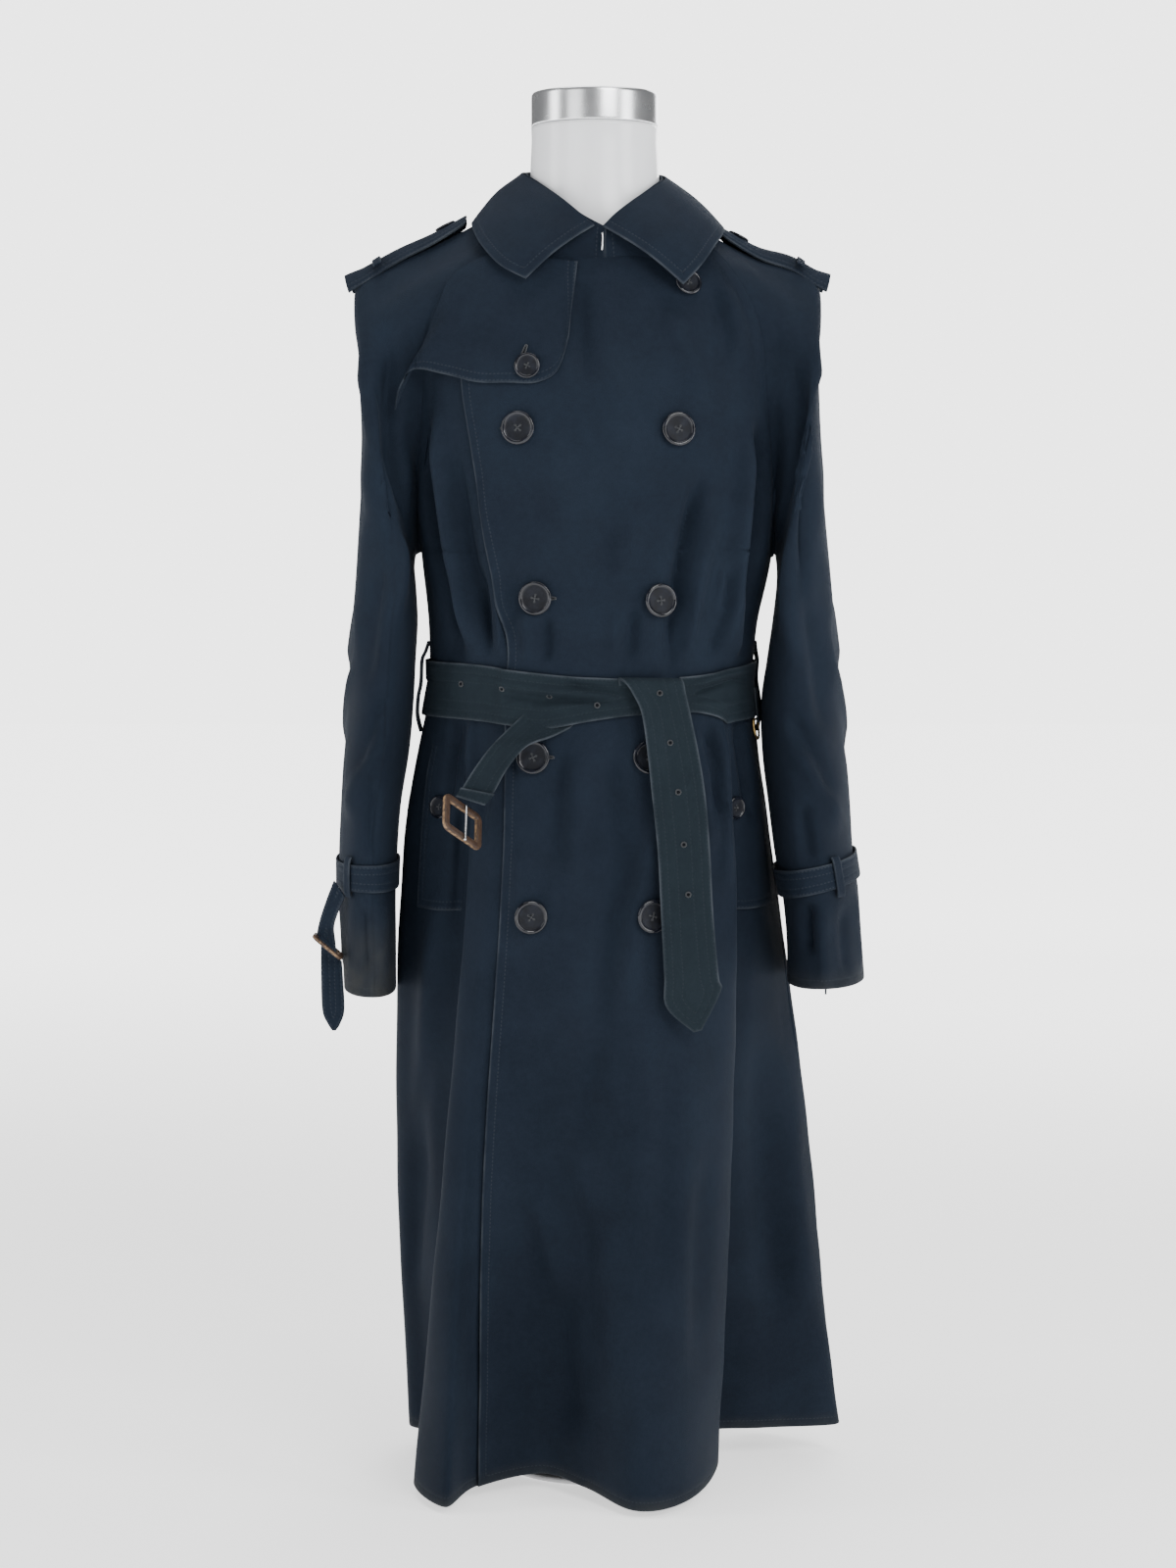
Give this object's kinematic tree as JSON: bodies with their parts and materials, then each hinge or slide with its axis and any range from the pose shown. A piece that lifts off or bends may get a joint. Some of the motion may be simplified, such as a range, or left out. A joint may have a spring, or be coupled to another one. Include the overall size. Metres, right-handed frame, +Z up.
{
  "type": "trench coat on a dress form",
  "caption": "Belted double-breasted raglan trench coat with gun flap, epaulettes and strapped cuffs, worn by a limbless dress form on a pole and round base.",
  "frame": {"origin": "a point on the underside of the base plate, straight below the axis of the form's neck", "axes": "+Z up, -Y the way the coat faces, +X toward the wearer's left"},
  "size_m": [0.5056, 0.3426, 1.2746],
  "materials": {
    "coat_cloth": "closely woven cotton, matt, worn a little pale along the seams",
    "belt_cloth": "the same cloth, a little greyer and greener",
    "horn": "polished, nearly black navy",
    "buckle_leather": "brown leather over a frame, worn to tan at the edges",
    "steel": "bright plated wire",
    "brass": "dull gold",
    "form_shell": "milky white, slightly see-through, satin",
    "chrome": "mirror-bright",
    "stand_metal": "pale grey, satin"
  },
  "bodies": {
    "coat": {"back": "coat_cloth", "front_left": "coat_cloth", "front_right": "coat_cloth", "sleeve_left": "coat_cloth", "sleeve_right": "coat_cloth", "epaulette_left": "coat_cloth", "epaulette_right": "coat_cloth", "keeper_left": "coat_cloth", "keeper_right": "coat_cloth", "collar": "coat_cloth", "collar_stand": "coat_cloth", "gun_flap": "coat_cloth", "pocket_left": "coat_cloth", "pocket_right": "coat_cloth", "belt_loop_left": "coat_cloth", "belt_loop_right": "coat_cloth", "cuff_strap_left": "coat_cloth", "cuff_strap_right": "coat_cloth", "cuff_loop_left": "coat_cloth", "cuff_loop_right": "coat_cloth", "cuff_drop_right": "coat_cloth", "cuff_tail_right": "coat_cloth", "cuff_tail_left": "coat_cloth", "belt": "belt_cloth", "belt_tail": "belt_cloth", "belt_end": "belt_cloth", "belt_keeper": "belt_cloth", "ring_tab": "belt_cloth", "button_1r": "horn", "button_1l": "horn", "button_2r": "horn", "button_2l": "horn", "button_3r": "horn", "button_3l": "horn", "button_4r": "horn", "button_4l": "horn", "collar_button": "horn", "flap_button": "horn", "pocket_button_left": "horn", "pocket_button_right": "horn", "epaulette_button_left": "horn", "epaulette_button_right": "horn", "belt_buckle": "buckle_leather", "cuff_buckle_right": "buckle_leather", "cuff_buckle_left": "buckle_leather", "throat_hook": "steel", "d_ring": "brass", "form_body": "form_shell", "neck_cap": "chrome", "form_pole": "stand_metal", "form_base": "stand_metal"},
    "prong": {"belt_prong": "steel"}
  },
  "joints": [
    {"name": "prong_swing", "type": "hinge", "parent": "coat", "child": "prong", "pos_m": [-0.1127, -0.1418, 0.6402], "axis": [0.6217, 0.6017, -0.5014], "range_deg": [-80, 0]}
  ]
}
